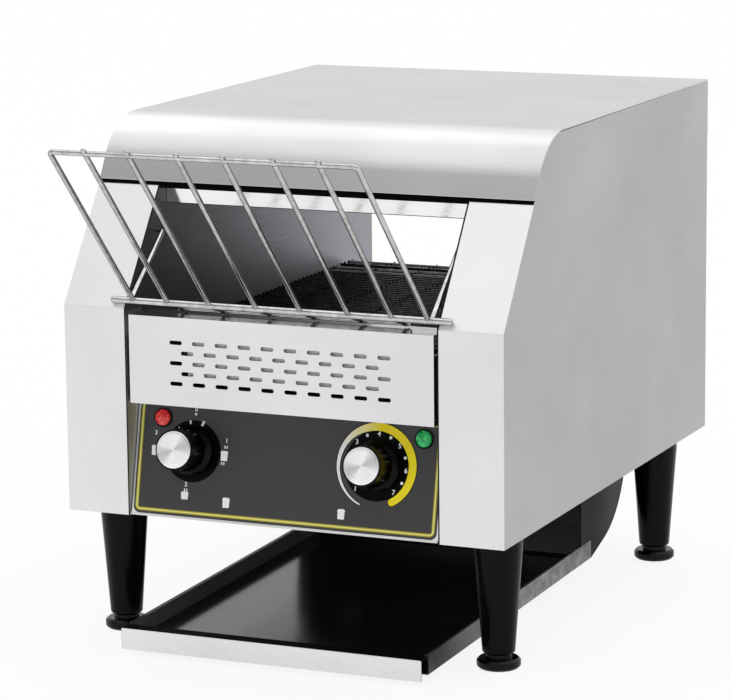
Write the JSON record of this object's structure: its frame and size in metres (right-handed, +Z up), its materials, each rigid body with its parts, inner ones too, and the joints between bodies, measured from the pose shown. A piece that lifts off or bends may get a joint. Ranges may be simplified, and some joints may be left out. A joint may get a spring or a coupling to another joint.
{
  "type": "conveyor toaster",
  "caption": "Countertop conveyor toaster: bread rides a wire belt between heating tubes and slides out into a front tray.",
  "frame": {"origin": "centre of the whole toaster's box on the worktop, under the feet, with the wire rack and cord gland counted", "axes": "+X to the user's right, -Y towards the user, +Z up"},
  "size_m": [0.288, 0.489, 0.3218],
  "materials": {
    "brushed_stainless": "brushed stainless steel sheet",
    "satin_stainless": "satin stainless steel sheet",
    "inner_stainless": "heat-stained stainless steel sheet",
    "bright_steel": "bright rolled steel",
    "mirror_steel": "mirror polished",
    "galvanised_steel": "galvanised",
    "screw_steel": "plated",
    "shaft_steel": "ground bar",
    "belt_steel": "heat-darkened stainless wire",
    "chrome_wire": "bright nickel-chrome plated wire",
    "spun_aluminium": "diamond-turned",
    "bronze": "sintered bronze",
    "motor_zinc": "zinc die casting",
    "black_abs": "moulded, satin",
    "foot_black": "moulded, gloss",
    "black_nylon": "moulded nylon",
    "knob_black": "moulded phenolic",
    "dark_overlay": "printed film, dark grey",
    "red_lens": "clear red lens",
    "green_lens": "clear green lens",
    "ceramic_white": "unglazed steatite",
    "quartz": "clear quartz tube",
    "mineral_board": "mineral fibre board",
    "chute_black": "dark heat-resistant coating, semi-gloss",
    "tray_black": "black enamel, semi-gloss"
  },
  "bodies": {
    "casing": {"side_panel_right": "brushed_stainless", "side_panel_left": "brushed_stainless", "inner_wall_right": "inner_stainless", "inner_wall_left": "inner_stainless", "hood": "brushed_stainless", "vent_panel": "satin_stainless", "vent_baffle": "bright_steel", "base_plate": "galvanised_steel", "belt_deck": "inner_stainless", "rear_panel": "brushed_stainless", "casing_screws": "screw_steel", "cord_gland": "black_nylon", "legs": "black_abs", "control_panel": "satin_stainless", "panel_overlay": "dark_overlay", "heat_switch": "black_nylon", "speed_control": "black_nylon", "power_lamp_body": "black_nylon", "power_lamp_lens": "red_lens", "heating_lamp_body": "black_nylon", "heating_lamp_lens": "green_lens", "terminal_block": "ceramic_white", "thermal_cutout": "black_nylon", "idler_bearings": "bronze", "drive_bearings": "bronze", "gear_motor": "motor_zinc", "motor_bracket": "galvanised_steel", "upper_tubes": "quartz", "lower_tubes": "quartz", "tube_holders": "ceramic_white", "upper_reflector": "bright_steel", "lower_reflector": "bright_steel", "guard_wires": "chrome_wire", "mouth_crossbar": "mirror_steel", "side_insulation": "mineral_board", "top_insulation": "mineral_board", "toast_chute": "chute_black", "tray_runners": "galvanised_steel"},
    "heat_selector": {"heat_knob": "knob_black", "heat_knob_cap": "spun_aluminium", "heat_spindle": "shaft_steel"},
    "speed_selector": {"speed_knob": "knob_black", "speed_knob_cap": "spun_aluminium", "speed_spindle": "shaft_steel"},
    "drive_roller": {"drive_shaft": "shaft_steel", "drive_sprockets": "shaft_steel", "belt_rear_wrap": "belt_steel"},
    "idler_roller": {"idler_shaft": "shaft_steel", "idler_sprockets": "shaft_steel", "belt_front_wrap": "belt_steel"},
    "belt_carrying": {"belt_top_run": "belt_steel"},
    "belt_returning": {"belt_return_run": "belt_steel"},
    "bread_rack": {"wire_rack": "chrome_wire"},
    "toast_tray": {"tray_pan": "tray_black", "tray_handle": "bright_steel"},
    "levelling_foot_fl": {"foot_front_left": "foot_black"},
    "levelling_foot_fr": {"foot_front_right": "foot_black"},
    "levelling_foot_rl": {"foot_rear_left": "foot_black"},
    "levelling_foot_rr": {"foot_rear_right": "foot_black"}
  },
  "joints": [
    {"name": "heat_selector_turn", "type": "hinge", "parent": "casing", "child": "heat_selector", "pos_m": [-0.0645, -0.13295, 0.1238], "axis": [0, 0.9781, -0.2079], "range_deg": [0, 270]},
    {"name": "speed_selector_turn", "type": "hinge", "parent": "casing", "child": "speed_selector", "pos_m": [0.0589, -0.13295, 0.1238], "axis": [0, 0.9781, -0.2079], "range_deg": [-16, 261]},
    {"name": "drive_turn", "type": "hinge", "parent": "casing", "child": "drive_roller", "pos_m": [0, 0.17548, 0.174], "axis": [-1, 0, 0], "range_deg": [0, 46]},
    {"name": "idler_turn", "type": "hinge", "parent": "casing", "child": "idler_roller", "pos_m": [0, -0.09952, 0.174], "axis": [-1, 0, 0], "range_deg": [0, 46]},
    {"name": "belt_top_travel", "type": "slide", "parent": "casing", "child": "belt_carrying", "axis": [0, 1, 0], "range_m": [0, 0.0125]},
    {"name": "belt_return_travel", "type": "slide", "parent": "casing", "child": "belt_returning", "axis": [0, -1, 0], "range_m": [0, 0.0128]},
    {"name": "rack_lift", "type": "hinge", "parent": "casing", "child": "bread_rack", "pos_m": [0, -0.09702, 0.2525], "axis": [-1, 0, 0], "range_deg": [0, 60]},
    {"name": "tray_slide", "type": "slide", "parent": "casing", "child": "toast_tray", "axis": [0, -0.9998, -0.0175], "range_m": [0, 0.16]},
    {"name": "foot_turn_fl", "type": "hinge", "parent": "casing", "child": "levelling_foot_fl", "pos_m": [-0.1255, -0.10552, 0.0065], "axis": [0, 0, 1], "continuous": true},
    {"name": "foot_turn_fr", "type": "hinge", "parent": "casing", "child": "levelling_foot_fr", "pos_m": [0.1255, -0.10552, 0.0065], "axis": [0, 0, 1], "continuous": true},
    {"name": "foot_turn_rl", "type": "hinge", "parent": "casing", "child": "levelling_foot_rl", "pos_m": [-0.1255, 0.17948, 0.0065], "axis": [0, 0, 1], "continuous": true},
    {"name": "foot_turn_rr", "type": "hinge", "parent": "casing", "child": "levelling_foot_rr", "pos_m": [0.1255, 0.17948, 0.0065], "axis": [0, 0, 1], "continuous": true}
  ],
  "couplings": [
    {"joint": "drive_turn", "follows": "belt_top_travel", "rad_per_m": 62.832},
    {"joint": "idler_turn", "follows": "belt_top_travel", "rad_per_m": 62.832},
    {"joint": "belt_return_travel", "follows": "belt_top_travel", "ratio": 1}
  ]
}
